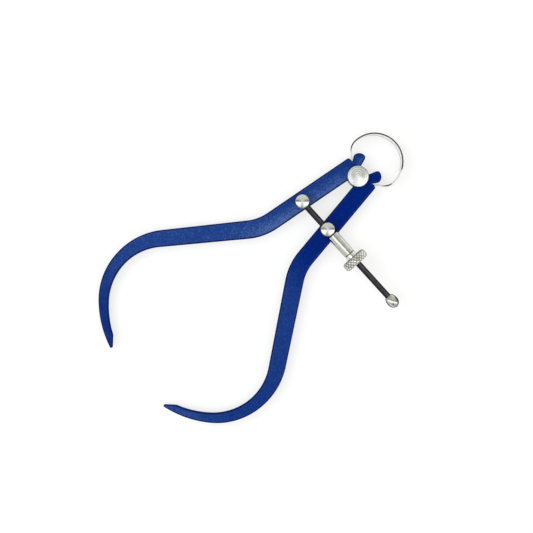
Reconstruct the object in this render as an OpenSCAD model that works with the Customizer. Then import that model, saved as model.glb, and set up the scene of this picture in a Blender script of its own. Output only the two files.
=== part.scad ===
// Outside spring caliper, 150 mm size, lying flat.
// Origin on the fulcrum's axis, at the underside of its lower cap. The legs point to -Y, the bow
// spring to +Y, and the adjusting screw lies along X with its ball end at +X.
// The right leg is drawn, and the left leg is its mirror image.

/* [Legs] */
// Thickness of the leg strip
leg_t = 3.5; // [2.5:0.1:4]
// Width of the strip along the shank
shank_w = 9.3; // [8.5:0.1:10]
// Width of the strip where the bowed part begins
arm_w = 8.5; // [7.5:0.1:9.5]
// Width of the strip at the widest place of the bow
belly_w = 6.6; // [5.5:0.1:7.5]
// Width of the strip at the bevel of the contact point
hook_w = 3.4; // [3:0.1:4.2]
// Length of the straight shank below the fulcrum
shank_l = 47.6; // [46:0.1:50]
// Angle of the shank to the caliper's centre line
shank_a = 8; // [7:0.1:9]
// Centre-line radius of the elbow below the posts
elbow_r = 27; // [22:1:32]
// Angle of the straight arm to the caliper's centre line
arm_a = 36.4; // [34:0.1:38]
// Length of the straight arm
arm_l = 44.5; // [40:0.5:48]
// Centre-line radius of the bow
belly_r = 32.3; // [30:0.1:36]
// Angle at which the bow passes into the flatter hook
hook_a = -46.4; // [-50:0.1:-42]
// Centre-line radius of the hook
hook_r = 51; // [45:1:60]
// Angle of the hook at its contact point
tip_a = -73.2; // [-76:0.1:-70]
// Radius of the rounded contact point
tip_r = 0.55; // [0.4:0.05:0.8]
// Length of the bevel on the inner side of the contact point
bevel_l = 5.2; // [4:0.1:7]

/* [Fulcrum] */
// Radius of the barrel that the legs turn on
barrel_r = 3.2; // [2.8:0.1:3.6]
// Radius of the turned head
head_r = 5.4; // [5:0.1:6]
// Height of the turned head
head_h = 2.1; // [1.6:0.1:2.6]
// Radius of the lower cap
cap_r = 5.25; // [5:0.05:6]
// Height of the lower cap
cap_h = 1.9; // [1.6:0.1:2.4]

/* [Bow spring] */
// Centre-line radius of the ring
bow_r = 14.2; // [13.5:0.1:15]
// Thickness of the strip
bow_t = 0.9; // [0.7:0.1:1]
// Height of the strip at the top of the ring
bow_h = 7; // [5:0.1:7.2]
// Height of the strip where it enters the notches
bow_end_h = 3.2; // [2.6:0.1:4]
// Distance of the ring's centre above the fulcrum
bow_y = 11.2; // [11:0.1:11.6]

/* [Posts] */
// Distance of each post from the caliper's centre line
post_x = 9.5; // [9.4:0.1:10]
// Distance of each post below the fulcrum
post_y = 29.7; // [28:0.1:31]
// Radius of a post
post_r = 3.45; // [3.35:0.05:3.8]
// Radius of the shank that swivels in the leg
shank_r = 2.3; // [2:0.1:2.6]
// Height of a post above the leg
post_h = 7.3; // [7:0.1:8]

/* [Screw and nut] */
// Radius over the screw's thread
screw_r = 1.6; // [1.4:0.05:1.7]
// Height of the screw's axis above the resting plane
screw_z = 8.8; // [8.7:0.05:9]
// Place of the ball end along X
ball_x = 55; // [54:0.1:60]
// Largest radius of the ball end
ball_r = 2.95; // [2.7:0.05:3.3]
// Length of the ball end
ball_l = 6.7; // [6:0.1:7.2]
// Length of the sleeve
sleeve_l = 13.1; // [12:0.1:14]
// Sleeve radius at the post
sleeve_r0 = 2.95; // [2.85:0.05:3]
// Sleeve radius at the nut
sleeve_r1 = 2.8; // [2.7:0.05:2.85]
// Radius of the knurled wheel
wheel_r = 6.75; // [6:0.05:7.2]
// Thickness of the knurled wheel
wheel_w = 4.2; // [3.5:0.1:5]
// Radius of the wheel's rounded corners
wheel_round = 1.3; // [0.8:0.1:1.6]
// Radius of the hub between sleeve and wheel
hub_r = 2.7; // [2.5:0.05:2.85]
// Length of the hub
hub_l = 2.2; // [2:0.1:3]

/* [Hidden] */
$fn = 72;

// Running clearance of a pin in its hole, and the end play between turned faces
run = 0.05;
play = 0.1;
leg_z = cap_h + play;
leg_top = leg_z + leg_t;
leg_mid = leg_z + leg_t / 2;

// Curvature of a stretch in degrees per millimetre
function bend(r) = 180 / (PI * r);
elbow_l = (arm_a - shank_a) / bend(elbow_r);
belly_l = (arm_a - hook_a) / bend(belly_r);
hook_l = (hook_a - tip_a) / bend(hook_r);

// The leg's centre line: it starts level with the fulcrum, and its heading is measured from -Y
// towards +X. Each stretch holds its length, its start heading and its curvature.
spine_x0 = 6;
stretches = [[shank_l, shank_a, 0], [elbow_l, shank_a, bend(elbow_r)], [arm_l, arm_a, 0],
             [belly_l, arm_a, -bend(belly_r)], [hook_l, hook_a, -bend(hook_r)]];

// Step from the start of a stretch to the place d along it
function step(t, d) = t[2] == 0
    ? d * [sin(t[1]), -cos(t[1])]
    : [cos(t[1]) - cos(t[1] + t[2] * d), sin(t[1]) - sin(t[1] + t[2] * d)] * (180 / (PI * t[2]));
// Start of stretch number i
function start(i) = i == 0 ? [spine_x0, 0] : start(i - 1) + step(stretches[i - 1], stretches[i - 1][0]);
// Distance along the centre line to the start of stretch number i
function run_to(i) = i == 0 ? 0 : run_to(i - 1) + stretches[i - 1][0];

// Half the strip's width at the distance s along the centre line
belly_s = run_to(3) + arm_a / bend(belly_r);
function half_w(s) = lookup(s, [[0, shank_w], [run_to(2), shank_w], [run_to(3), arm_w],
                                [belly_s, belly_w], [run_to(5), hook_w]]) / 2;
// Point beside the centre line, on the side 1 (outer) or -1 (inner), d along stretch number i
function beside(i, d, side) =
    let (t = stretches[i], h = t[1] + t[2] * d)
    start(i) + step(t, d) + side * half_w(run_to(i) + d) * [cos(h), sin(h)];
// Points beside one stretch: its two ends if it is straight, a point every 3 degrees if it bends
function edge(i, side) =
    let (t = stretches[i], n = max(1, ceil(abs(t[0] * t[2]) / 3)))
    [for (k = [0 : n - 1]) beside(i, t[0] * k / n, side)];

// Points on an arc about c from angle a0 to angle a1
function arc(c, r, a0, a1, n) = [for (k = [0 : n]) c + r * [cos(a0 + (a1 - a0) * k / n),
                                                            sin(a0 + (a1 - a0) * k / n)]];

// The tang above the fulcrum: its round lobe, the apex of the spring notch and the shoulder
lobe_c = [5.7, 6.1];
lobe_r = 3.65;
notch_apex = [7.5, 3.2];
shoulder = [9.95, 3];
shoulder_low = [10.35, 2.3];
tang_inner = [4.2, 8.75];
// Place level with the fulcrum where shank and tang meet on the inner edge
inner_kink = [1.35, 0];

// The contact point: bevel from the inner edge to the rounded tip
hook_end = beside(4, hook_l, 1);
tip_c = hook_end + tip_r * [-cos(tip_a), -sin(tip_a)];
bevel_d = hook_l - bevel_l;

module leg_outline() {
    inner = concat(edge(1, -1), edge(2, -1), edge(3, -1),
                   [for (k = [0 : 5]) beside(4, bevel_d * k / 5, -1)]);
    outer = concat(edge(1, 1), edge(2, 1), edge(3, 1), edge(4, 1), [hook_end]);
    tip = arc(tip_c, tip_r, tip_a, tip_a - 145, 8);
    polygon(concat([inner_kink], inner, [for (k = [8 : -1 : 0]) tip[k]],
                   [for (k = [len(outer) - 1 : -1 : 0]) outer[k]],
                   [shoulder_low, shoulder, notch_apex],
                   arc(lobe_c, lobe_r, 0, 100, 12), [tang_inner]));
}

module leg() {
    difference() {
        translate([0, 0, leg_z]) linear_extrude(leg_t) leg_outline();
        translate([0, 0, leg_z - 1]) cylinder(r = barrel_r + run, h = leg_t + 2);
        translate([post_x, -post_y, leg_z - 1]) cylinder(r = shank_r + run, h = leg_t + 2);
    }
}

module left_leg() {
    color("royalblue") mirror([1, 0, 0]) leg();
}

module right_leg() {
    color("royalblue") leg();
}

// Bow spring: a half ring over the top, a tighter bend on each side and a straight end that
// slants into the notch. The strip narrows from the ring's centre down to its ends.
bend_r = 6.4;
bend_a = 52;
bow_end_l = 4.4;

module strip_arc(r, a0, a1) {
    lap = 0.2;
    rotate([0, 0, a0 - lap]) rotate_extrude(angle = a1 - a0 + 2 * lap)
        translate([r - bow_t / 2, leg_mid - bow_h / 2]) square([bow_t, bow_h]);
}

module bow_side() {
    translate([bow_r - bend_r, bow_y, 0]) {
        strip_arc(bend_r, -bend_a, 0);
        rotate([0, 0, -bend_a]) translate([bend_r - bow_t / 2, -bow_end_l, leg_mid - bow_h / 2])
            cube([bow_t, bow_end_l, bow_h]);
    }
}

module bow_spring() {
    half_h = bow_h / 2;
    half_end = bow_end_h / 2;
    low_y = 5;
    reach = 2 * bow_r;
    color("lightgray") intersection() {
        union() {
            translate([0, bow_y, 0]) strip_arc(bow_r, 0, 180);
            bow_side();
            mirror([1, 0, 0]) bow_side();
        }
        translate([-reach, 0, leg_mid]) rotate([90, 0, 90]) linear_extrude(2 * reach)
            polygon([[0, -half_end], [low_y, -half_end], [bow_y + bow_r / 2, -half_h], [reach, -half_h],
                     [reach, half_h], [bow_y + bow_r / 2, half_h], [low_y, half_end], [0, half_end]]);
    }
}

// Fulcrum: the head has a shallow stepped face, and the spigot is riveted flush in the cap
spigot_r = 2;
step_r = 0.8 * head_r;
step_h = 0.2;
rim = 0.35;

module fulcrum_stud() {
    head_z = leg_top + play;
    color("gainsboro") rotate_extrude()
        polygon([[0, 0], [spigot_r, 0], [spigot_r, cap_h], [barrel_r, cap_h], [barrel_r, head_z],
                 [head_r, head_z], [head_r, head_z + head_h - rim], [head_r - rim, head_z + head_h],
                 [step_r, head_z + head_h], [step_r, head_z + head_h - step_h],
                 [0, head_z + head_h - step_h]]);
}

module fulcrum_cap() {
    color("silver") rotate_extrude()
        polygon([[spigot_r, 0], [cap_r - rim, 0], [cap_r, rim], [cap_r, cap_h], [spigot_r, cap_h]]);
}

// Posts: a turned head over the leg, a shank through it and a peened end below the washer
washer_r = 3.6;
washer_h = 0.7;
peen_r = 2.9;
peen_h = 0.6;
cone_h = 0.5;
head_rim = 0.3;
washer_z = leg_z - play / 2 - washer_h;
post_z = leg_top + play;

module post_body() {
    top = leg_top + post_h;
    rotate_extrude()
        polygon([[0, washer_z - peen_h], [peen_r - 0.8, washer_z - peen_h], [peen_r, washer_z],
                 [shank_r, washer_z], [shank_r, post_z], [post_r, post_z],
                 [post_r, top - cone_h - head_rim], [post_r - head_rim, top - cone_h], [0, top]]);
}

module along_x(x) {
    translate([x, -post_y, screw_z]) rotate([0, 90, 0]) children();
}

module washer() {
    difference() {
        cylinder(r = washer_r, h = washer_h);
        translate([0, 0, -1]) cylinder(r = shank_r, h = washer_h + 2);
    }
}

// The anchor post holds the screw in a blind hole
screw_x0 = -post_x - 2;

module anchor_post() {
    color("gainsboro") difference() {
        translate([-post_x, -post_y, 0]) post_body();
        along_x(screw_x0) cylinder(r = screw_r, h = post_r + 4);
    }
}

module anchor_washer() {
    color("silver") translate([-post_x, -post_y, washer_z]) washer();
}

// The slide post has a clearance hole for the screw and a spot-faced seat for the sleeve
slide_hole_r = screw_r + 0.15;
seat_x = post_x + post_r - 0.25;
seat_r = sleeve_r0 + 0.05;

module slide_post() {
    color("gainsboro") difference() {
        translate([post_x, -post_y, 0]) post_body();
        along_x(post_x - post_r - 1) cylinder(r = slide_hole_r, h = 2 * post_r + 2);
        along_x(seat_x) cylinder(r = seat_r, h = 1);
    }
}

module slide_washer() {
    color("silver") translate([post_x, -post_y, washer_z]) washer();
}

// Screw and ball end
ball_depth = 4;

module adjusting_screw() {
    color("dimgray") along_x(screw_x0) cylinder(r = screw_r, h = ball_x + ball_depth - screw_x0);
}

module ball_end() {
    neck_r = 0.66 * ball_r;
    flare_r = 0.93 * ball_r;
    flare_l = 0.8;
    color("gainsboro") along_x(ball_x) difference() {
        union() {
            cylinder(r1 = neck_r, r2 = flare_r, h = flare_l);
            translate([0, 0, flare_l])
                cylinder(r1 = flare_r, r2 = ball_r, h = ball_l - ball_r - flare_l);
            translate([0, 0, ball_l - ball_r]) intersection() {
                sphere(r = ball_r);
                cylinder(r = 2 * ball_r, h = 2 * ball_r);
            }
        }
        translate([0, 0, -1]) cylinder(r = screw_r, h = ball_depth + 1);
    }
}

// Sleeve: tapered outside, with the nut's spigot turning in its counterbore
sleeve_x = seat_x + play;
spigot_r1 = 2.25;
sleeve_lip = 3.5;

module thrust_sleeve() {
    color("gainsboro") along_x(sleeve_x) rotate_extrude()
        polygon([[slide_hole_r, 0], [sleeve_r0 - 0.35, 0], [sleeve_r0, 0.6], [sleeve_r1, sleeve_l],
                 [spigot_r1 + run, sleeve_l], [spigot_r1 + run, sleeve_lip],
                 [slide_hole_r, sleeve_lip]]);
}

// Nut: knurled wheel with rounded corners, hub, and the threaded spigot inside the sleeve
hub_x = sleeve_x + sleeve_l + play;
nut_r = screw_r + run;

module knurled_nut() {
    spigot_l = sleeve_l - sleeve_lip;
    wheel_z = spigot_l + hub_l;
    turn = wheel_r - wheel_round;
    color("silver") along_x(hub_x - spigot_l) rotate_extrude()
        polygon(concat([[nut_r, 0], [spigot_r1, 0], [spigot_r1, spigot_l], [hub_r, spigot_l],
                        [hub_r, wheel_z]],
                       arc([turn, wheel_z + wheel_round], wheel_round, -90, 0, 6),
                       arc([turn, wheel_z + wheel_w - wheel_round], wheel_round, 0, 90, 6),
                       [[nut_r, wheel_z + wheel_w]]));
}

left_leg();
right_leg();
bow_spring();
fulcrum_stud();
fulcrum_cap();
anchor_post();
anchor_washer();
slide_post();
slide_washer();
adjusting_screw();
ball_end();
thrust_sleeve();
knurled_nut();
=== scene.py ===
"""Outside spring caliper: finishes and fine shapes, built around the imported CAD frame."""
import math

import bmesh
import bpy
from mathutils import Matrix, Vector

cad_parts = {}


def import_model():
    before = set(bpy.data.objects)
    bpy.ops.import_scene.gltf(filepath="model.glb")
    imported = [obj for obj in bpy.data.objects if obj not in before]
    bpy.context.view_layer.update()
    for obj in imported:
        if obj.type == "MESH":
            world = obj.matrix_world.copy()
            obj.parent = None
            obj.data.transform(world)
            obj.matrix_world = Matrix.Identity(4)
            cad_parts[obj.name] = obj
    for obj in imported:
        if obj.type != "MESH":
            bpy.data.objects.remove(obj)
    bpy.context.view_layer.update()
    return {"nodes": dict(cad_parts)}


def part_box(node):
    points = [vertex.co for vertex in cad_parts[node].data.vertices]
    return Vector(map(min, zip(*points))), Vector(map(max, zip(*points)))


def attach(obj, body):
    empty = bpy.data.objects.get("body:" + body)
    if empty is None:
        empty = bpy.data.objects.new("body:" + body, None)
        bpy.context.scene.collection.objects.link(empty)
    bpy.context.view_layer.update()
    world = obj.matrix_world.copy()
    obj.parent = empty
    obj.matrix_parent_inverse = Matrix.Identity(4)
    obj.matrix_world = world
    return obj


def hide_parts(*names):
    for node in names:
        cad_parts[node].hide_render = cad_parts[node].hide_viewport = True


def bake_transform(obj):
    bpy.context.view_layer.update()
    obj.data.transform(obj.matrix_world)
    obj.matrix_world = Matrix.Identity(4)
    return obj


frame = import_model()

MM = 0.001

# Camera, from the photograph: the fulcrum's place, the caliper's turn, and the scale at the legs
PHOTO_WIDTH_PX = 533
FULCRUM_PX = (357.9, 176.6)
CALIPER_TURN = math.radians(47.78)
PIXEL_SIZE = 0.507 * MM
CAMERA_HEIGHT = 520 * MM
SENSOR_WIDTH_MM = 36
PHOTO_RIGHT = Vector((math.cos(CALIPER_TURN), math.sin(CALIPER_TURN)))
PHOTO_DOWN = Vector((PHOTO_RIGHT.y, -PHOTO_RIGHT.x))

# The legs' lower and upper faces and the screw's place, from the frame
LEG_LOW, LEG_TOP = (corner.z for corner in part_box("right_leg"))
SCREW_LOW, SCREW_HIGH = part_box("adjusting_screw")
SCREW_AXIS = (SCREW_LOW + SCREW_HIGH) / 2
SCREW_RADIUS = SCREW_HIGH.z - SCREW_AXIS.z

# Sizes that several pieces share: gaps, corner roundings and what counts as one point
HEAD_LOW = LEG_TOP + 0.1 * MM
SLIDE_HOLE = SCREW_RADIUS + 0.15 * MM
PLAY = 0.05 * MM
CORNER_ROUND = 0.15 * MM
FINE_ROUND = 0.1 * MM
SAME_POINT = 0.0001 * MM
SAME_CUT_POINT = 0.002 * MM
TINY_EDGE = 0.001 * MM
CRISP_CORNER = math.radians(35)
LATHE_STEPS = 96


# Mesh helpers

def faded(value, start, stop):
    """0 at start, 1 at stop, an even slope between them and level beyond them."""
    return min(1, max(0, (value - start) / (stop - start)))


def skin(rows, wrap_rows=False, grime_and_shade=None):
    """Quads between rings of points. The last ring joins the first one if the rows wrap.
    An optional last list holds one value for each point, from 0 for clean metal up to 1 for a dark groove,
    for dirt and for painted shade."""
    bm = bmesh.new()
    layer = bm.verts.layers.float.new("grime_and_shade")
    grid = [[bm.verts.new(point) for point in row] for row in rows]
    if grime_and_shade:
        for row, values in zip(grid, grime_and_shade):
            for vert, value in zip(row, values):
                vert[layer] = value
    for i in range(len(grid) if wrap_rows else len(grid) - 1):
        here = grid[i]
        there = grid[(i + 1) % len(grid)]
        for j in range(len(here)):
            k = (j + 1) % len(here)
            bm.faces.new((here[j], there[j], there[k], here[k]))
    return bm


def arc(centre, radius, start, turn, steps):
    """Points on an arc that begins at the angle start and goes on by the angle turn."""
    angles = [start + turn * k / steps for k in range(steps + 1)]
    return [Vector((centre[0] + radius * math.cos(a), centre[1] + radius * math.sin(a)))
            for a in angles]


def rounded(corners, steps=4):
    """A profile with its corners rounded. A corner is (across, along) or (across, along, radius)."""
    points = []
    for i, corner in enumerate(corners):
        place = Vector(corner[:2])
        if len(corner) == 2:
            points.append(place)
            continue
        before = (Vector(corners[i - 1][:2]) - place).normalized()
        after = (Vector(corners[(i + 1) % len(corners)][:2]) - place).normalized()
        half = before.angle(after) / 2
        centre = place + (before + after).normalized() * corner[2] / math.sin(half)
        first = place + before * corner[2] / math.tan(half) - centre
        last = place + after * corner[2] / math.tan(half) - centre
        turn = math.atan2(first.cross(last), first.dot(last))
        points += arc(centre, corner[2], math.atan2(first.y, first.x), turn, steps)
    return points


def even_turns(steps):
    """The angles of points spread evenly round an axis."""
    return [math.tau * k / steps for k in range(steps)]


def ring(radii, height):
    """Points spread evenly round the local Z axis, one for each radius."""
    return [(r * math.cos(a), r * math.sin(a), height) for r, a in zip(radii, even_turns(len(radii)))]


def lathe(profile, closed=False, darkening=None):
    """A turned form round the local Z axis. Its profile holds (radius, height) points.
    An optional function of (height, turn) gives the darkening at a height and an angle, for dirt and for
    painted shade."""
    rows = [ring([radius] * LATHE_STEPS, height) for radius, height in profile]
    grime_and_shade = None
    if darkening:
        grime_and_shade = [[darkening(height, a) for a in even_turns(LATHE_STEPS)] for radius, height in profile]
    return skin(rows, closed, grime_and_shade)


def closed_mesh(bm, name):
    """A mesh of the bmesh with its double points merged and its faces turned outwards."""
    bmesh.ops.remove_doubles(bm, verts=bm.verts, dist=SAME_POINT)
    bmesh.ops.recalc_face_normals(bm, faces=bm.faces)
    mesh = bpy.data.meshes.new(name)
    bm.to_mesh(mesh)
    bm.free()
    return mesh


def add_object(name, data):
    """A new object in the scene, for a mesh, a lamp or a camera."""
    item = bpy.data.objects.new(name, data)
    bpy.context.scene.collection.objects.link(item)
    return item


def add_piece(bm, name, material, place=Matrix.Identity(4), corner=CRISP_CORNER):
    """Makes a mesh object with smooth faces and crisp corners, at its place in the frame."""
    mesh = closed_mesh(bm, name)
    mesh.shade_smooth()
    mesh.set_sharp_from_angle(angle=corner)
    mesh.materials.append(material)
    piece = add_object(name, mesh)
    piece.matrix_world = place
    shading = piece.modifiers.new("even_shading", "WEIGHTED_NORMAL")
    shading.keep_sharp = True
    return piece


def fit(piece, body, slot, *nodes):
    """The piece rides on its body and stands for its CAD nodes. slot is not used."""
    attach(piece, body)
    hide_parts(*nodes)


def upright(x, y):
    """Place of a turned piece whose axis is vertical."""
    return Matrix.Translation((x, y, 0))


def along_screw(x):
    """Place of a turned piece on the screw's axis, with its local Z along the frame's X."""
    return Matrix.Translation((x, SCREW_AXIS.y, SCREW_AXIS.z)) @ Matrix.Rotation(math.pi / 2, 4, "Y")


# Node helpers for materials and the world

def new_material(name):
    """A material with its node tree and its shader node."""
    material = bpy.data.materials.new(name)
    material.use_nodes = True
    return material, material.node_tree, material.node_tree.nodes["Principled BSDF"]


def feed(tree, node, values):
    """Fills a node's first inputs in turn, each with another node's output or a fixed value."""
    for value, socket in zip(values, node.inputs):
        if isinstance(value, bpy.types.NodeSocket):
            tree.links.new(value, socket)
        else:
            socket.default_value = value


def math_node(tree, operation, *values):
    """One sum on numbers."""
    node = tree.nodes.new("ShaderNodeMath")
    node.operation = operation
    feed(tree, node, values)
    return node.outputs[0]


def vector_node(tree, operation, *values):
    """One sum on vectors or colours."""
    node = tree.nodes.new("ShaderNodeVectorMath")
    node.operation = operation
    feed(tree, node, values)
    return node.outputs["Value" if operation == "DOT_PRODUCT" else "Vector"]


def tinted(tree, colour, factor):
    """A colour multiplied by a grey."""
    return vector_node(tree, "MULTIPLY", colour, factor)


def weighted(tree, parts):
    """Sum of pairs, the first of each pair times the second."""
    total = math_node(tree, "MULTIPLY", *parts[0])
    for socket, weight in parts[1:]:
        total = math_node(tree, "ADD", total, math_node(tree, "MULTIPLY", socket, weight))
    return total


def coordinate(tree, kind):
    """The shaded point in one of Blender's coordinates."""
    return tree.nodes.new("ShaderNodeTexCoord").outputs[kind]


def axes(tree, vector):
    """The X, Y and Z shares of a vector."""
    node = tree.nodes.new("ShaderNodeSeparateXYZ")
    feed(tree, node, [vector])
    return node.outputs


def object_axes(tree, scale):
    """X, Y and Z of the point on the object, in metres, each times its scale."""
    return axes(tree, vector_node(tree, "MULTIPLY", coordinate(tree, "Object"), scale))


def facing_up(tree):
    """How much the surface faces the piece's own +Z: 1 on a flat top, 0 on a wall, -1 below."""
    return axes(tree, coordinate(tree, "Normal"))["Z"]


def layer_value(tree, name):
    """The value of a mesh layer at the shaded point."""
    node = tree.nodes.new("ShaderNodeAttribute")
    node.attribute_name = name
    return node.outputs["Fac"]


def noise(tree, size, detail=2):
    """Noise between 0 and 1, with blotches of about the given size."""
    texture = tree.nodes.new("ShaderNodeTexNoise")
    texture.inputs["Scale"].default_value = 1 / size
    texture.inputs["Detail"].default_value = detail
    tree.links.new(coordinate(tree, "Object"), texture.inputs["Vector"])
    return texture.outputs["Fac"]


def ramp(tree, factor, stops):
    """A colour ramp with (position, colour) stops, where a colour is a grey or (r, g, b)."""
    node = tree.nodes.new("ShaderNodeValToRGB")
    elements = node.color_ramp.elements
    while len(elements) < len(stops):
        elements.new(0.5)
    for element, (position, colour) in zip(elements, stops):
        element.position = position
        rgb = (colour,) * 3 if isinstance(colour, (int, float)) else colour
        element.color = (*rgb, 1)
    tree.links.new(factor, node.inputs["Fac"])
    return node.outputs["Color"]


def set_bump(tree, shader, height, depth):
    """Bumps of the given depth in metres, in the surface and in its clear top layer."""
    node = tree.nodes.new("ShaderNodeBump")
    node.inputs["Strength"].default_value = 1
    node.inputs["Distance"].default_value = depth
    tree.links.new(height, node.inputs["Height"])
    for socket in ("Normal", "Coat Normal"):
        tree.links.new(node.outputs["Normal"], shader.inputs[socket])


def linear(red, green, blue):
    """Scene colour of a screen colour that is given from 0 to 255."""
    def decode(value):
        share = value / 255
        return share / 12.92 if share <= 0.04045 else ((share + 0.055) / 1.055) ** 2.4
    return tuple(decode(v) for v in (red, green, blue))


# Enamel: its tones, and its painted sheen on each leg, by the distance down from the fulcrum

LEG_REACH = 160 * MM
SIDE_SPAN = 20 * MM
# Painted sheen along each leg, lighter where the legs would reflect a haze of light
RIGHT_SHEEN = [(0.28, 0.2), (0.42, 0.6), (0.65, 0.52), (0.8, 0.5), (0.92, 0.72)]
LEFT_SHEEN = [(0, 0.5), (0.1, 0.62), (0.2, 0.62), (0.35, 0.72), (0.75, 0.68), (0.92, 0.35)]
INNER_SHEEN = 0.3
BLOTCH_TONE = 0.22
SPECK_TONE = 0.32
SHEEN_START = 0.27
DEEP_BLUE = linear(0, 26, 116)
CLEAR_BLUE = linear(0, 36, 122)
MIDDLE_BLUE = linear(16, 52, 126)
SHEEN_BLUE = linear(36, 67, 139)
PALE_SHEEN_BLUE = linear(74, 100, 160)
# Painted shade on the rounded edges, then a painted highlight line just inside them
EDGE_SHADE_BLUE = linear(4, 22, 88)
EDGE_HIGHLIGHT = (0.01, 0.016, 0.024)
ENAMEL_BLOTCH = 5 * MM
ENAMEL_SPECK = 0.65 * MM
SPECK_DEPTH = 0.025 * MM
COAT_ROUGHNESS = 0.2


def enamel_sheen(tree, specks):
    """From 0 for deep enamel to 1 for pale: a painted sheen by the leg, by the distance from the fulcrum
    and along the inner side of the left shank, plus random mottling all over."""
    sides = object_axes(tree, (1 / SIDE_SPAN, -1 / LEG_REACH, 1))
    right = ramp(tree, math_node(tree, "ADD", sides["X"], 0.5), [(0.4, 0), (0.6, 1)])
    left = math_node(tree, "SUBTRACT", 1, right)
    inner = ramp(tree, layer_value(tree, "inner"), [(0.1, 0), (0.9, 1)])
    inner_sheen = tinted(tree, inner, ramp(tree, sides["Y"], [(0.3, 1), (0.42, 0)]))
    # Painted sheen: lighter enamel where the legs would reflect a haze of light; blotches and specks add
    # random mottling
    sheen_and_mottle = weighted(tree, [(right, ramp(tree, sides["Y"], RIGHT_SHEEN)),
                             (left, ramp(tree, sides["Y"], LEFT_SHEEN)),
                             (noise(tree, ENAMEL_BLOTCH, detail=3), BLOTCH_TONE),
                             (specks, SPECK_TONE),
                             (math_node(tree, "MULTIPLY", inner_sheen, left), INNER_SHEEN)])
    return math_node(tree, "SUBTRACT", sheen_and_mottle, SHEEN_START)


def enamel():
    """Dipped dark blue enamel: deep on the right shank, with a painted sheen that makes it lighter on the
    left leg and down the right one, painted shade on the rounded edges and a painted highlight line just
    inside them. Its gloss is a clear top layer, most of it where the edges round over and least on the
    walls."""
    material, tree, shader = new_material("blue_enamel")
    specks = ramp(tree, noise(tree, ENAMEL_SPECK), [(0.3, 0), (0.7, 1)])
    colour = ramp(tree, enamel_sheen(tree, specks), [(0, DEEP_BLUE), (0.25, CLEAR_BLUE),
                                                        (0.5, MIDDLE_BLUE), (0.75, SHEEN_BLUE),
                                                        (1, PALE_SHEEN_BLUE)])
    up = facing_up(tree)
    # Painted shade: dark navy where the edges round over, then an added painted highlight line just inside
    # them
    away_from_edge = ramp(tree, up, [(0.6, 1), (0.8, 0), (0.99, 0), (0.995, 1)])
    edge = ramp(tree, up, [(0.6, 0), (0.8, EDGE_SHADE_BLUE), (0.988, EDGE_SHADE_BLUE), (0.995, EDGE_HIGHLIGHT),
                           (0.9985, EDGE_HIGHLIGHT), (0.9998, 0)])
    whole = vector_node(tree, "ADD", tinted(tree, colour, away_from_edge), edge)
    tree.links.new(whole, shader.inputs["Base Color"])
    tree.links.new(ramp(tree, specks, [(0, 0.3), (1, 0.5)]), shader.inputs["Roughness"])
    shader.inputs["Specular IOR Level"].default_value = 0
    gloss = ramp(tree, up, [(0.75, 0.02), (0.88, 0.25), (0.985, 0.25), (0.997, 0.08)])
    tree.links.new(gloss, shader.inputs["Coat Weight"])
    shader.inputs["Coat Roughness"].default_value = COAT_ROUGHNESS
    set_bump(tree, shader, specks, SPECK_DEPTH)
    return material


# Metals, darkened where a mesh holds dirt and painted shade

BLOTCH_SIZE = 3 * MM
BLOTCH_SHARE = 0.9
GRAIN_SIZE = 0.4 * MM
GRAIN_DEPTH = 0.01 * MM
GRIME_AND_SHADE_TONE = 0.15
TOOL_MARKS = 1.1 * MM
MARK_DEPTH = 0.001 * MM
MARK_WANDER = 0.4
WAVE_PERIOD = math.pi / 10
TURNED_STEEL = (0.95, 0.96, 0.93)
RIM_SHADE = 0.3
QUARTER_TURN = 0.25
STRIP_STEEL = (0.92, 0.93, 0.92)
RING_SPAN = 20 * MM
# Darkest tone of the painted shade on the bow spring's edges
SLIT_SHADE = 0.13


def bare_metal(name, colour, edge_tint=0.6, grain_share=0.2):
    """A metal's shader, and its colour with faint blotches, darkened where its mesh holds dirt and painted
    shade.
    """
    material, tree, shader = new_material(name)
    shader.inputs["Metallic"].default_value = 1
    shader.inputs["Specular Tint"].default_value = (edge_tint, edge_tint, edge_tint, 1)
    dark = tuple((1 - BLOTCH_SHARE * grain_share) * c for c in colour)
    shade = ramp(tree, noise(tree, BLOTCH_SIZE, detail=3), [(0.3, dark), (0.6, colour)])
    # Darkened by the mesh layer, which holds both dirt and painted shade
    dirt_and_shade = ramp(tree, layer_value(tree, "grime_and_shade"), [(0, 1), (1, GRIME_AND_SHADE_TONE)])
    return material, tree, shader, tinted(tree, shade, dirt_and_shade)


def grained(tree, shader, rough, grain_share):
    """Makes the roughness vary by a share with a fine grain, and returns the grain."""
    grain = noise(tree, GRAIN_SIZE)
    spread = [(0.3, (1 - grain_share) * rough), (0.7, (1 + grain_share) * rough)]
    tree.links.new(ramp(tree, grain, spread), shader.inputs["Roughness"])
    return grain


def plain_metal(name, colour, rough, edge_tint=0.6, grain_share=0.2):
    """Bare or plated metal with fine grain, faint blotches, and the dirt and painted shade of its mesh."""
    material, tree, shader, shade = bare_metal(name, colour, edge_tint, grain_share)
    tree.links.new(shade, shader.inputs["Base Color"])
    set_bump(tree, shader, grained(tree, shader, rough, grain_share), GRAIN_DEPTH)
    return material


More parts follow.
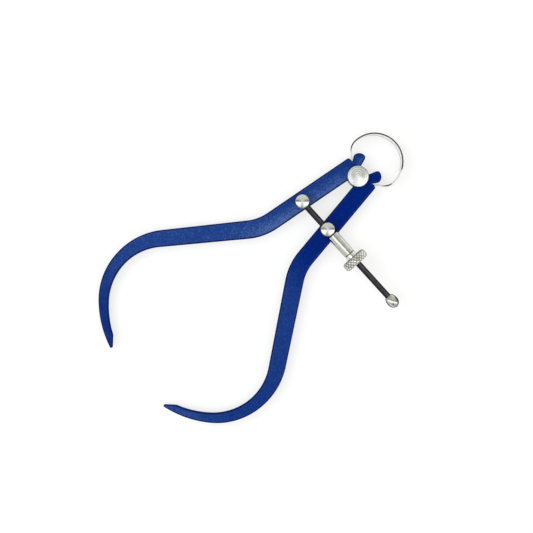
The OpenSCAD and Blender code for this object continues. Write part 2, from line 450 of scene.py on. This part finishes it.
def turned_metal(name, rough, anisotropic, mark_shade, grain_share):
    """Lathe-turned bright steel: circular tool marks round the piece's own Z, and a painted dark rim where
    the surface turns down from the face. The wave texture repeats after the wave period at a scale of 1."""
    material, tree, shader, shade = bare_metal(name, TURNED_STEEL, grain_share=grain_share)
    grained(tree, shader, rough, grain_share)
    rings = tree.nodes.new("ShaderNodeTexWave")
    rings.wave_type = "RINGS"
    rings.rings_direction = "Z"
    rings.inputs["Scale"].default_value = WAVE_PERIOD / TOOL_MARKS
    rings.inputs["Distortion"].default_value = MARK_WANDER
    rings.inputs["Detail"].default_value = 0
    tree.links.new(coordinate(tree, "Object"), rings.inputs["Vector"])
    tone = ramp(tree, rings.outputs["Fac"], [(0.2, mark_shade), (0.8, 1)])
    # Painted shade: a dark rim where the surface turns down from the face
    rim = ramp(tree, facing_up(tree), [(0.55, RIM_SHADE), (0.92, 1)])
    tree.links.new(tinted(tree, tinted(tree, shade, tone), rim), shader.inputs["Base Color"])
    shader.inputs["Anisotropic"].default_value = anisotropic
    shader.inputs["Anisotropic Rotation"].default_value = QUARTER_TURN
    tangent = tree.nodes.new("ShaderNodeTangent")
    tangent.direction_type = "RADIAL"
    tangent.axis = "Z"
    tree.links.new(tangent.outputs["Tangent"], shader.inputs["Tangent"])
    set_bump(tree, shader, rings.outputs["Fac"], MARK_DEPTH)
    return material


def spring_steel():
    """Polished strip with painted shade along its slit edges except at the hooked ends, lifted by a painted
    highlight at one side, and painted shade along its lower edge."""
    material, tree, shader, shade = bare_metal("spring_steel", STRIP_STEEL, edge_tint=1)
    place = object_axes(tree, (1 / RING_SPAN, 1 / RING_SPAN, 1 / RING_SPAN))
    edge = ramp(tree, math_node(tree, "ABSOLUTE", facing_up(tree)), [(0.05, 0), (0.3, 1)])
    # Painted shade on the slit edges and along the lower edge, lifted by a painted highlight at the +X side
    slit_edge_shade = tinted(tree, edge, ramp(tree, place["Y"], [(0.28, 0), (0.38, 1)]))
    lower_edge_shade = ramp(tree, place["Z"], [(0.06, 0.85), (0.1, 0)])
    side_highlight = math_node(tree, "MULTIPLY", ramp(tree, place["X"], [(0.59, 0), (0.63, 0.9)]),
                     ramp(tree, place["Y"], [(0.48, 0), (0.54, 1)]))
    painted_shade = math_node(tree, "MULTIPLY", math_node(tree, "MAXIMUM", slit_edge_shade, lower_edge_shade),
                     math_node(tree, "SUBTRACT", 1, side_highlight))
    tone = ramp(tree, painted_shade, [(0, 1), (1, SLIT_SHADE)])
    tree.links.new(tinted(tree, shade, tone), shader.inputs["Base Color"])
    tree.links.new(ramp(tree, painted_shade, [(0, 0.4), (1, 0.25)]), shader.inputs["Roughness"])
    set_bump(tree, shader, noise(tree, GRAIN_SIZE), GRAIN_DEPTH)
    return material


# Legs: the outline of the CAD strip with rounded, enamelled edges

OUTLINE_STEP = 1.5 * MM
EDGE_ROUND = 1.1 * MM
EDGE_DROP = 0.35 * MM
EDGE_STEPS = 8
SEAT_REACH = 4.6 * MM
SEAT_FADE = 1.5 * MM
TIP_SHARE = 0.35
TIP_FADE = 12 * MM
FLAT_NORMAL = 0.99
FLAT_SLACK = 0.01 * MM


def top_loops(node):
    """Closed loops of points round the flat upper face of a CAD leg, the longest one first."""
    bm = bmesh.new()
    bm.from_mesh(frame["nodes"][node].data)
    bmesh.ops.remove_doubles(bm, verts=bm.verts, dist=TINY_EDGE)
    bm.normal_update()
    flat = [face for face in bm.faces if face.normal.z > FLAT_NORMAL
            and face.calc_center_median().z > LEG_TOP - FLAT_SLACK]
    follow = {}
    for face in flat:
        for loop in face.loops:
            if sum(other in flat for other in loop.edge.link_faces) == 1:
                follow[loop.vert] = loop.link_loop_next.vert
    loops = []
    while follow:
        first, there = follow.popitem()
        points = [first.co.xy]
        while there is not first:
            points.append(there.co.xy)
            there = follow.pop(there)
        loops.append(points)
    bm.free()
    return sorted(loops, key=len, reverse=True)


def divided(points, step):
    """A loop with points added on its long sides."""
    result = []
    for i, point in enumerate(points):
        before = points[i - 1]
        count = max(1, round((point - before).length / step))
        result += [before.lerp(point, k / count) for k in range(count)]
    return result


def inward(points, distances):
    """A loop moved to its left, each point by its own distance, with its corners kept sharp."""
    moved = []
    for i, point in enumerate(points):
        before = (point - points[i - 1]).normalized()
        after = (points[(i + 1) % len(points)] - point).normalized()
        left = Vector((-before.y - after.y, before.x + after.x))
        share = 2 / max(left.length_squared, 0.5)
        moved.append(point + left * share * distances[i])
    return moved


def edge_radii(points):
    """How far the edge is rounded at each point: not in the fulcrum's seat, and less at the tip."""
    tip = min(points, key=lambda p: p.y)
    radii = []
    for point in points:
        from_seat = faded(point.length, SEAT_REACH, SEAT_REACH + SEAT_FADE)
        from_tip = min(1, TIP_SHARE + (point - tip).length / TIP_FADE)
        radii.append(EDGE_ROUND * min(from_seat, from_tip))
    return radii


def edge_rings(points, radii):
    """Rings from the lower face over both rounded edges to the upper face. Each edge is rounded
    by its radius across and by less in height."""
    rings = []
    for height, side in ((LEG_LOW, 1), (LEG_TOP, -1)):
        steps = range(EDGE_STEPS + 1)
        for k in steps if side == 1 else reversed(steps):
            a = math.pi / 2 * k / EDGE_STEPS
            flat = inward(points, [r * (1 - math.sin(a)) for r in radii])
            drop = EDGE_DROP / EDGE_ROUND * (1 - math.cos(a))
            rings.append([(p.x, p.y, height + side * r * drop) for p, r in zip(flat, radii)])
    return rings


def inner_shares(points):
    """1 for each point on the side that faces the other leg, 0 on the far side."""
    first = points.index(min(points, key=lambda p: p.y))
    top = points.index(max(points, key=lambda p: p.y))
    count = len(points)
    is_left = sum(p.x for p in points) < 0
    return [float(((i - first) % count < (top - first) % count) == is_left) for i in range(count)]


def leg(name, material):
    """A leg's strip: its CAD outline with rounded edges, and its holes with square ones."""
    bm = bmesh.new()
    layer = bm.verts.layers.float.new("inner")
    caps = {LEG_LOW: [], LEG_TOP: []}
    for number, corners in enumerate(top_loops(name)):
        points = divided(corners, OUTLINE_STEP)
        is_outline = number == 0
        radii = edge_radii(points) if is_outline else [0] * len(points)
        shares = inner_shares(points) if is_outline else [0.5] * len(points)
        grid = [[bm.verts.new(p) for p in row] for row in edge_rings(points, radii)]
        for row in grid:
            for vert, share in zip(row, shares):
                vert[layer] = share
        for here, there in zip(grid, grid[1:]):
            for j in range(len(here)):
                bm.faces.new((here[j - 1], here[j], there[j], there[j - 1]))
        for height, row in ((LEG_LOW, grid[0]), (LEG_TOP, grid[-1])):
            caps[height] += [bm.edges.get((row[j - 1], row[j])) for j in range(len(row))]
    for edges in caps.values():
        bmesh.ops.triangle_fill(bm, edges=edges, use_beauty=True)
    bmesh.ops.dissolve_degenerate(bm, dist=TINY_EDGE, edges=bm.edges)
    return add_piece(bm, name + "_strip", material)


# Bow spring: a ring of strip whose ends bend in to the notches and grow less tall

STRIP_THICK = 0.72 * MM
STRIP_EDGE = 0.2 * MM
BEND_RADIUS = 6.4 * MM
BEND_TURN = math.radians(52)
END_LENGTH = 4.4 * MM
END_HALF_HEIGHT = 1.6 * MM
TAPER_END = 5 * MM
RING_STEPS = 48
BEND_STEPS = 20
END_STEPS = 6


def bow_path(centre, radius):
    """Points of the right half from its top to its end, each with its outward direction."""
    bend_centre = centre + Vector((radius - BEND_RADIUS, 0))
    path = [(p, p - centre) for p in arc(centre, radius, math.pi / 2, -math.pi / 2, RING_STEPS)]
    bend = arc(bend_centre, BEND_RADIUS, 0, -BEND_TURN, BEND_STEPS)[1:]
    path += [(p, p - bend_centre) for p in bend]
    last, outward = path[-1]
    along = Vector((outward.y, -outward.x)).normalized()
    path += [(last + along * END_LENGTH * k / END_STEPS, outward) for k in range(1, END_STEPS + 1)]
    return path


def bow_half(name, side, material):
    """One half of the ring, from its top to its end in the notch on that side."""
    low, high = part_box("bow_spring")
    radius = high.x - STRIP_THICK / 2
    centre = Vector((0, high.y - high.x))
    middle = (low.z + high.z) / 2
    full = (high.z - low.z) / 2
    rows = []
    for point, outward in bow_path(centre, radius):
        half = END_HALF_HEIGHT + (full - END_HALF_HEIGHT) * faded(point.y, TAPER_END, centre.y + radius / 2)
        section = rounded([(x * STRIP_THICK / 2, y * half, STRIP_EDGE)
                           for x, y in ((-1, -1), (1, -1), (1, 1), (-1, 1))])
        out = outward.normalized()
        rows.append([(side * (point.x + out.x * s.x), point.y + out.y * s.x, middle + s.y)
                     for s in section])
    bm = skin(rows)
    bm.verts.ensure_lookup_table()
    count = len(rows[0])
    bm.faces.new(bm.verts[:count])
    bm.faces.new(bm.verts[-count:])
    return add_piece(bm, name, material)


# Fulcrum: a slightly domed face, a little off square, with concentric ridges from the lathe

STUD_RADIUS = 2 * MM
BARREL_RADIUS = 3.2 * MM
RIM = 0.35 * MM
RIM_ROUND = 0.2 * MM
FACE_DROP = 0.2 * MM
FACE_CURVE = 1.5
FACE_STEPS = 56
FACE_LEAN = math.radians(3.8)
LEAN_DEPTH = FACE_DROP + 1.5 * RIM
RIDGE_HEIGHT = 0.006 * MM
FACE_BOWTIE_SHADE = 0.55
BOWTIE_PLACE = 0.5
BOWTIE_REACH = 0.45


def fulcrum_stud(steel):
    """The stud's spigot, the barrel that the legs turn on, and the head."""
    low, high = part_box("fulcrum_stud")
    cap_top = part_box("fulcrum_cap")[1].z
    head = high.x
    face = head - RIM
    profile = rounded([(0, low.z), (STUD_RADIUS, low.z), (STUD_RADIUS, cap_top),
                       (BARREL_RADIUS, cap_top), (BARREL_RADIUS, HEAD_LOW),
                       (head, HEAD_LOW, CORNER_ROUND), (head, high.z - FACE_DROP - RIM, RIM_ROUND),
                       (face, high.z - FACE_DROP)])
    for k in range(FACE_STEPS, -1, -1):
        r = face * k / FACE_STEPS
        ridge = RIDGE_HEIGHT * (math.cos(math.tau * r / TOOL_MARKS) - 1)
        profile.append(Vector((r, high.z - FACE_DROP * (r / face) ** FACE_CURVE + ridge)))

    def bowtie_shade(height, turn):
        """Painted reflection: two darker patches halfway to the rim, left and right, for a bow-tie's dim
        sides.
        """
        share = ((high.z - height) / FACE_DROP) ** (1 / FACE_CURVE)
        fade = max(0, 1 - abs(share - BOWTIE_PLACE) / BOWTIE_REACH)
        return FACE_BOWTIE_SHADE * math.cos(turn - CALIPER_TURN) ** 4 * fade

    # Painted reflection: the face darkens at its left and right, for the dim sides of a bow-tie reflection
    bm = lathe(profile, darkening=bowtie_shade)
    for vert in bm.verts:
        if vert.co.z > high.z - LEAN_DEPTH:
            vert.co.z -= math.tan(FACE_LEAN) * vert.co.xy.dot(PHOTO_DOWN)
    stud = add_piece(bm, "fulcrum_head", steel)
    fit(stud, "fulcrum", "turned_steel", "fulcrum_stud")


def fulcrum_flange(steel):
    """The flange under the legs, with its lower rim bevelled."""
    low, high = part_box("fulcrum_cap")
    profile = rounded([(STUD_RADIUS, low.z), (high.x - RIM, low.z, FINE_ROUND),
                       (high.x, low.z + RIM, FINE_ROUND), (high.x, high.z, FINE_ROUND),
                       (STUD_RADIUS, high.z)])
    flange = add_piece(lathe(profile, closed=True), "fulcrum_flange", steel)
    fit(flange, "fulcrum", "turned_steel", "fulcrum_cap")


# Posts: a domed head over the leg, and a shank that is peened over below its washer

SEAT_RADIUS = 3 * MM
SEAT_DEPTH = 0.25 * MM
SHANK_RADIUS = 2.3 * MM
PEEN_RADIUS = 2.9 * MM
PEEN_LOW_RADIUS = 2.1 * MM
PEEN_ROUND = 0.3 * MM
HEAD_RIM = 0.3 * MM
DOME_DROP = 0.5 * MM
DOME_STEPS = 10


def drill(piece, radius, start, stop):
    """Cuts a hole along the screw's axis into a piece, between two places on X."""
    bore = lathe([(0, 0), (radius, 0), (radius, stop - start), (0, stop - start)])
    cutter = add_object("cutter", closed_mesh(bore, "cutter"))
    cutter.matrix_world = along_screw(start)
    cut = piece.modifiers.new("drill", "BOOLEAN")
    cut.operation = "DIFFERENCE"
    cut.object = cutter
    piece.modifiers["even_shading"].show_viewport = False
    bpy.context.view_layer.update()
    found = piece.evaluated_get(bpy.context.evaluated_depsgraph_get())
    piece.data = bpy.data.meshes.new_from_object(found)
    piece.modifiers.remove(cut)
    piece.modifiers["even_shading"].show_viewport = True
    bpy.data.objects.remove(cutter)
    bm = bmesh.new()
    bm.from_mesh(piece.data)
    bmesh.ops.remove_doubles(bm, verts=bm.verts, dist=SAME_CUT_POINT)
    bmesh.ops.dissolve_degenerate(bm, dist=TINY_EDGE, edges=bm.edges)
    bm.to_mesh(piece.data)
    bm.free()
    piece.data.set_sharp_from_angle(angle=CRISP_CORNER)


def post(node, name, body, steel, drilled=False):
    """A post and its washer. The drilled one has the screw's hole and a flat seat for the sleeve."""
    low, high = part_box(node)
    middle = (low + high) / 2
    radius = high.y - middle.y
    washer_node = node.split("_")[0] + "_washer"
    washer_low, washer_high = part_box(washer_node)
    centre = (washer_low.x + washer_high.x) / 2
    face = radius - HEAD_RIM
    edge = high.z - DOME_DROP
    profile = rounded([(0, low.z), (PEEN_LOW_RADIUS, low.z, PEEN_ROUND), (PEEN_RADIUS, washer_low.z),
                       (SHANK_RADIUS, washer_low.z), (SHANK_RADIUS, HEAD_LOW),
                       (radius, HEAD_LOW, CORNER_ROUND), (radius, edge - HEAD_RIM, CORNER_ROUND),
                       (face, edge)])
    for k in range(DOME_STEPS - 1, -1, -1):
        share = k / DOME_STEPS
        profile.append(Vector((face * share, high.z - DOME_DROP * share ** 2)))
    head = add_piece(lathe(profile), name, steel, upright(centre, middle.y))
    if drilled:
        drill(head, SLIDE_HOLE, centre - 2 * radius, centre + 2 * radius)
        drill(head, SEAT_RADIUS, high.x - SEAT_DEPTH, centre + 2 * radius)
    fit(head, body, "turned_steel", node)
    outside = washer_high.x - centre
    profile = rounded([(SHANK_RADIUS, washer_low.z), (outside, washer_low.z, CORNER_ROUND),
                       (outside, washer_high.z, CORNER_ROUND), (SHANK_RADIUS, washer_high.z)])
    washer = lathe(profile, closed=True)
    washer = add_piece(washer, name + "_washer", steel, upright(centre, middle.y))
    fit(washer, body, "turned_steel", washer_node)


# Screw: each thread profile point is (share of the pitch, share of the depth)

PITCH = 0.5 * MM
THREAD_DEPTH = 0.15 * MM
THREAD_PROFILE = [(0, 0), (0.1, 0), (0.34, 1), (0.7, 1)]
THREAD_STEPS = 24
THREAD_CORNER = math.radians(60)
ROD_SIDE_SHADE = 0.9
ROD_LIT_SINE = 0.3
ROD_SHADED_SINE = 0.7


def threaded_rod(black):
    """A helical thread with flat crests, with painted shade down the rod's sides that leaves it lighter
    along its top and bottom.
    """
    root = SCREW_RADIUS - THREAD_DEPTH
    turns = int((SCREW_HIGH.x - SCREW_LOW.x) / PITCH) - 1
    bm = bmesh.new()
    layer = bm.verts.layers.float.new("grime_and_shade")
    grid = []
    for i in range(turns * THREAD_STEPS + 1):
        a = math.tau * i / THREAD_STEPS
        row = []
        for along, out in THREAD_PROFILE:
            r = root + out * THREAD_DEPTH
            vert = bm.verts.new((r * math.cos(a), r * math.sin(a), PITCH * (i / THREAD_STEPS + along)))
            # Painted shade: darker on the rod's sides, lighter along its top and bottom
            vert[layer] = ROD_SIDE_SHADE * faded(abs(math.sin(a)), ROD_LIT_SINE, ROD_SHADED_SINE)
            row.append(vert)
        grid.append(row)
    for i in range((turns - 1) * THREAD_STEPS):
        here = grid[i] + [grid[i + THREAD_STEPS][0]]
        there = grid[i + 1] + [grid[i + THREAD_STEPS + 1][0]]
        for j in range(len(THREAD_PROFILE)):
            bm.faces.new((here[j], here[j + 1], there[j + 1], there[j]))
    loose = [v for v in bm.verts if not v.link_faces]
    bmesh.ops.delete(bm, geom=loose, context="VERTS")
    bmesh.ops.holes_fill(bm, edges=[e for e in bm.edges if e.is_boundary], sides=0)
    rod = add_piece(bm, "screw_thread", black, along_screw(SCREW_LOW.x), corner=THREAD_CORNER)
    fit(rod, "screw_unit", "black_steel", "adjusting_screw")


# Ball end: the neck's radius is a share of the widest, and the other places are shares of the length

BALL_NECK = 0.67
BALL_MIDDLE = 0.49
NECK_DARKENING = 0.45
NECK_DARKENING_END = 0.25
TIP_SHADE = 0.8
TIP_SHADE_START = 0.72
TIP_SHADE_FULL = 0.9
SIDE_SHADE = 0.75
LIT_COSINE = -0.8
SHADED_COSINE = -0.45
STREAK_PLACE = 0.68
STREAK_TURN = math.radians(122)
STREAK_WIDTH = math.radians(22)
STREAK_CORE = 1.6
STREAK_SHORTNESS = 6
STREAK_GAIN = 1.4
STREAK_MOST = 1.1
NECK_STEPS = 16
TIP_STEPS = 24


def half_ellipse(start, stop, middle, reach, radius, steps):
    """Profile points (radius, height) of an ellipse round the axis, between two heights."""
    heights = [start + (stop - start) * (1 - math.cos(math.pi * k / steps)) / 2
               for k in range(steps + 1)]
    return [Vector((radius * math.sqrt(max(0, 1 - ((h - middle) / reach) ** 2)), h)) for h in heights]


def ball_shade(share, turn):
    """Darkening of the ball at a share of its length and an angle: darker at the neck, painted shade down
    the sides and most of all at the tip, and a painted dark reflection as a streak on the side at +Y. Its
    top is where the cosine is -1."""
    neck = NECK_DARKENING * faded(share, NECK_DARKENING_END, 0)
    tip = TIP_SHADE * faded(share, TIP_SHADE_START, TIP_SHADE_FULL)
    # Painted shade: the ball darkens away from its top, and a painted dark reflection forms the streak
    sides = SIDE_SHADE * faded(math.cos(turn), LIT_COSINE, SHADED_COSINE)
    streak = STREAK_CORE - abs(turn - STREAK_TURN) / STREAK_WIDTH
    streak -= STREAK_SHORTNESS * (share - STREAK_PLACE) ** 2
    return max(neck, tip, sides, min(STREAK_MOST, STREAK_GAIN * streak))


def ball(nickel):
    """Acorn: widest in its middle, cut off at the rod that ends inside it, with a full round end."""
    low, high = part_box("ball_end")
    radius = (high.z - low.z) / 2
    length = high.x - low.x
    middle = BALL_MIDDLE * length
    reach = middle / math.sqrt(1 - BALL_NECK ** 2)
    socket = SCREW_HIGH.x - low.x
    profile = [Vector((0, socket)), Vector((SCREW_RADIUS, socket)), Vector((SCREW_RADIUS, 0))]
    profile += half_ellipse(0, middle, middle, reach, radius, NECK_STEPS)
    profile += half_ellipse(middle, length, middle, length - middle, radius, TIP_STEPS)[1:]
    bead = lathe(profile, darkening=lambda height, turn: ball_shade(height / length, turn))
    bead = add_piece(bead, "ball_knob", nickel, along_screw(low.x))
    fit(bead, "screw_unit", "nickel_plate", "ball_end")


# Sleeve and nut

SPIGOT_RADIUS = 2.25 * MM
JOINT_ROUND = 0.25 * MM
JOINT_GRIME = 0.2 * MM
SEAT_SHADE = 0.65 * MM
SLEEVE_TAPER = 0.15 * MM
SLEEVE_LEAD = (0.35 * MM, 0.6 * MM)
LEAD_ROUND = 0.3 * MM
SLEEVE_SHOULDER = 3.5 * MM
WHEEL_WIDE = 4.2 * MM
WHEEL_ROUND = 1.3 * MM
HUB_RADIUS = 2.7 * MM
HUB_LONG = 2.2 * MM
BORE_CHAMFER = 0.3 * MM
RIM_ARC_STEPS = 24
RIM_FLAT_STEPS = 22
KNURL_ROUND = 22
KNURL_STEPS = 17
KNURL_LEAD = 1.95 * MM
KNURL_DEPTH = 0.32 * MM
KNURL_CROWN = 0.25
KNURL_FADE = 0.4
GROOVE_WIDTH = 0.2


def sleeve(nickel):
    """A slightly tapered tube, bored wide for the nut's spigot and narrow for the screw."""
    low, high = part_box("thrust_sleeve")
    wide = (high.z - low.z) / 2
    length = high.x - low.x
    bore = SPIGOT_RADIUS + PLAY
    lead_in, lead_long = SLEEVE_LEAD
    profile = rounded([(SLIDE_HOLE, 0), (wide - lead_in, 0, FINE_ROUND), (wide, lead_long, LEAD_ROUND),
                       (wide - SLEEVE_TAPER, length, JOINT_ROUND), (bore, length),
                       (bore, SLEEVE_SHOULDER), (SLIDE_HOLE, SLEEVE_SHOULDER)])

    def ends_darkened(height, turn):
        """Painted shade all round where the sleeve meets the post, and a dark joint where it meets the nut.
        """
        # Painted shade at the seat end; the nut end is a dark joint
        return float(height < SEAT_SHADE or height > length - JOINT_GRIME)

    tube = lathe(profile, closed=True, darkening=ends_darkened)
    tube = add_piece(tube, "sleeve_tube", nickel, along_screw(low.x))
    fit(tube, "sleeve", "nickel_plate", "thrust_sleeve")


def wheel_rim(wheel, length):
    """Profile of the wheel's rim: flat in its middle, with two round shoulders."""
    across = wheel - WHEEL_ROUND
    low = length - WHEEL_WIDE + WHEEL_ROUND
    high = length - WHEEL_ROUND
    rim = arc((across, low), WHEEL_ROUND, -math.pi / 2, math.pi / 2, RIM_ARC_STEPS)
    for k in range(1, RIM_FLAT_STEPS):
        rim.append(Vector((wheel, low + (high - low) * k / RIM_FLAT_STEPS)))
    return rim + arc((across, high), WHEEL_ROUND, 0, math.pi / 2, RIM_ARC_STEPS)


def knurl_drop(around, along):
    """Depth shares of the crossing grooves and of the crowned diamonds between them, at a place
    counted in grooves round and along the rim."""
    away = [abs((around + side * along) % 1 - 0.5) for side in (-1, 1)]
    crown = sum((1 - 2 * a) ** 2 for a in away) / 2
    return (1 - KNURL_CROWN) * max(0, 1 - min(away) / GROOVE_WIDTH), KNURL_CROWN * crown


def knurled_rows(rim, wheel, steps):
    """Rings of points and of groove darkening, dirt and painted shade, along the rim, cut by the knurl,
    which fades on the shoulders.
    """
    rows = []
    grime_and_shade = []
    travelled = 0
    before = rim[0]
    for point in rim:
        travelled += (point - before).length
        before = point
        reach = faded(point.x, wheel - WHEEL_ROUND, wheel - (1 - KNURL_FADE) * WHEEL_ROUND)
        drops = [knurl_drop(KNURL_ROUND * k / steps, travelled / KNURL_LEAD) for k in range(steps)]
        radii = [point.x - KNURL_DEPTH * reach * (groove + crown) for groove, crown in drops]
        rows.append(ring(radii, point.y))
        # The grooves are darkened, as dirt and as painted shade
        grime_and_shade.append([reach * groove for groove, crown in drops])
    return rows, grime_and_shade


def nut(nickel):
    """The knurled wheel with its hub, and the spigot that carries the sleeve."""
    low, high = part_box("knurled_nut")
    wheel = (high.z - low.z) / 2
    length = high.x - low.x
    bore = SCREW_RADIUS + PLAY
    wheel_low = length - WHEEL_WIDE
    hub_low = wheel_low - HUB_LONG
    inner = rounded([(bore, 0), (SPIGOT_RADIUS, 0, FINE_ROUND), (SPIGOT_RADIUS, hub_low),
                     (HUB_RADIUS, hub_low, JOINT_ROUND), (HUB_RADIUS, wheel_low)])
    outer = [(bore + BORE_CHAMFER, length), (bore, length - BORE_CHAMFER)]
    steps = KNURL_STEPS * KNURL_ROUND
    rim_rows, rim_grime_and_shade = knurled_rows(wheel_rim(wheel, length), wheel, steps)
    rows = [ring([x] * steps, y) for x, y in inner] + rim_rows + [ring([x] * steps, y) for x, y in outer]
    grime_and_shade = [[float(y < hub_low + JOINT_GRIME)] * steps for x, y in inner] + rim_grime_and_shade
    grime_and_shade += [[0] * steps for point in outer]
    piece = add_piece(skin(rows, True, grime_and_shade), "nut_wheel", nickel, along_screw(low.x))
    fit(piece, "nut", "nickel_plate", "knurled_nut")


# Stage: floor, lamps, world and camera

FLOOR_SIZE = 3
FLOOR_HEIGHT = -0.02 * MM
FLOOR_GREY = 0.4
FLOOR_GLOW = 0.65
LAMP_AIM = Vector((0, -65 * MM, 0))
LAMP_DISTANCE = 0.9


def floor():
    """A floor whose glow and lit grey make white together, so that it keeps the shadow."""
    bm = bmesh.new()
    bmesh.ops.create_grid(bm, x_segments=1, y_segments=1, size=FLOOR_SIZE)
    mesh = bpy.data.meshes.new("floor")
    bm.to_mesh(mesh)
    bm.free()
    plane = add_object("floor", mesh)
    plane.location.z = FLOOR_HEIGHT
    material, tree, shader = new_material("white_floor")
    shader.inputs["Base Color"].default_value = (FLOOR_GREY, FLOOR_GREY, FLOOR_GREY, 1)
    shader.inputs["Roughness"].default_value = 0.9
    shader.inputs["Specular IOR Level"].default_value = 0.1
    path = tree.nodes.new("ShaderNodeLightPath")
    seen = math_node(tree, "ADD", path.outputs["Is Camera Ray"], path.outputs["Is Glossy Ray"])
    seen = math_node(tree, "ADD", seen, path.outputs["Is Transmission Ray"])
    shader.inputs["Emission Color"].default_value = (1, 1, 1, 1)
    tree.links.new(math_node(tree, "MULTIPLY", seen, FLOOR_GLOW), shader.inputs["Emission Strength"])
    mesh.materials.append(material)


def softbox(name, turn, elevation, size, share):
    """A square lamp that lights the floor by this share of what an all-white world would give.
    turn is its compass angle. Bright metal mirrors the world alone, because a lamp is smaller than
    a real soft light."""
    a = math.radians(turn)
    e = math.radians(elevation)
    towards = Vector((math.cos(a) * math.cos(e), math.sin(a) * math.cos(e), math.sin(e)))
    lamp = bpy.data.lights.new(name, "AREA")
    lamp.size = size
    lamp.energy = share * math.pi ** 2 * LAMP_DISTANCE ** 2 / math.sin(e)
    holder = add_object(name, lamp)
    holder.location = LAMP_AIM + towards * LAMP_DISTANCE
    holder.rotation_euler = towards.to_track_quat("Z", "Y").to_euler()
    holder.visible_glossy = False


def sky_share(tree, direction):
    """Half the cosine to a direction in the plan, plus a half, for a ramp."""
    cosine = vector_node(tree, "DOT_PRODUCT", coordinate(tree, "Generated"), direction.to_3d() / 2)
    return math_node(tree, "ADD", cosine, 0.5)


def world():
    """A soft ceiling over a pale horizon, the same for every ray. Towards the photo's lower edge it
    is bright but for a narrow gap, and towards the upper edge greenish grey, with a dim bar each
    side just past overhead."""
    studio = bpy.data.worlds.new("studio")
    studio.use_nodes = True
    bpy.context.scene.world = studio
    tree = studio.node_tree
    lower = sky_share(tree, PHOTO_DOWN)
    aside = math_node(tree, "SUBTRACT", sky_share(tree, PHOTO_RIGHT), 0.5)
    slant = math_node(tree, "DIVIDE", aside, math_node(tree, "SUBTRACT", lower, 0.5))
    sky = ramp(tree, lower, [(0, (0.6, 0.62, 0.56)), (0.47, (0.64, 0.68, 0.6)), (0.52, 1.25), (0.56, 1.6),
                             (0.66, 1.6), (0.71, 1), (0.79, 0.6), (1, 0.45)])
    gap = math_node(tree, "MULTIPLY", ramp(tree, lower, [(0.51, 0), (0.53, 1)]),
                    ramp(tree, math_node(tree, "ABSOLUTE", slant), [(0.18, 0.7), (0.38, 0)]))
    bars = math_node(tree, "MULTIPLY", ramp(tree, lower, [(0.36, 0), (0.41, 1), (0.48, 1), (0.51, 0)]),
                     ramp(tree, math_node(tree, "ABSOLUTE", aside), [(0.01, 0.4), (0.05, 0.85)]))
    for dark in (gap, bars):
        sky = tinted(tree, sky, math_node(tree, "SUBTRACT", 1, dark))
    height = axes(tree, coordinate(tree, "Generated"))["Z"]
    high = ramp(tree, height, [(0.17, 0), (0.27, 1)])
    horizon = ramp(tree, height, [(0.17, 0.9), (0.27, 0)])
    whole = vector_node(tree, "ADD", tinted(tree, sky, high), horizon)
    tree.links.new(whole, tree.nodes["Background"].inputs["Color"])


def camera():
    """The camera looks straight down and sees the fulcrum where the photograph shows it."""
    lens = bpy.data.cameras.new("photo_camera")
    holder = add_object("photo_camera", lens)
    middle = PHOTO_WIDTH_PX / 2
    across = (FULCRUM_PX[0] - middle) * PIXEL_SIZE
    downwards = (FULCRUM_PX[1] - middle) * PIXEL_SIZE
    place = -across * PHOTO_RIGHT - downwards * PHOTO_DOWN
    holder.location = (*place, LEG_TOP + CAMERA_HEIGHT)
    holder.rotation_euler = (0, 0, CALIPER_TURN)
    lens.sensor_width = SENSOR_WIDTH_MM
    lens.lens = SENSOR_WIDTH_MM * CAMERA_HEIGHT / (PHOTO_WIDTH_PX * PIXEL_SIZE)
    lens.clip_start = 10 * MM
    bpy.context.scene.camera = holder


camera()
floor()
world()
softbox("left_light", turn=273, elevation=60, size=0.5, share=0.06)
softbox("right_light", turn=3, elevation=58, size=0.4, share=0.04)
softbox("fill_light", turn=208, elevation=45, size=0.5, share=0.2)

blue = enamel()
steel = turned_metal("turned_steel", rough=0.26, anisotropic=0.95, mark_shade=0.93, grain_share=0.06)
faced = turned_metal("faced_steel", rough=0.24, anisotropic=0.5, mark_shade=0.92, grain_share=0.12)
spring = spring_steel()
nickel = plain_metal("nickel_plate", (0.8, 0.8, 0.74), rough=0.19, edge_tint=0)
knurled = plain_metal("nickel_knurl", (0.96, 0.96, 0.89), rough=0.15, edge_tint=0)
black = plain_metal("black_steel", (0.1, 0.092, 0.108), rough=0.26, grain_share=0.5)

for node in ("left_leg", "right_leg"):
    fit(leg(node, blue), node, "blue_enamel", node)

for side, body in ((-1, "left_leg"), (1, "right_leg")):
    half = bow_half("bow_spring_" + body.split("_")[0], side, spring)
    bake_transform(half)
    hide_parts("bow_spring")

fulcrum_stud(faced)
fulcrum_flange(faced)
post("anchor_post", "anchor_head", "screw_unit", steel)
post("slide_post", "slide_head", "slide_unit", steel, drilled=True)
threaded_rod(black)
ball(nickel)
sleeve(nickel)
nut(knurled)

bpy.context.scene.view_settings.view_transform = "Standard"
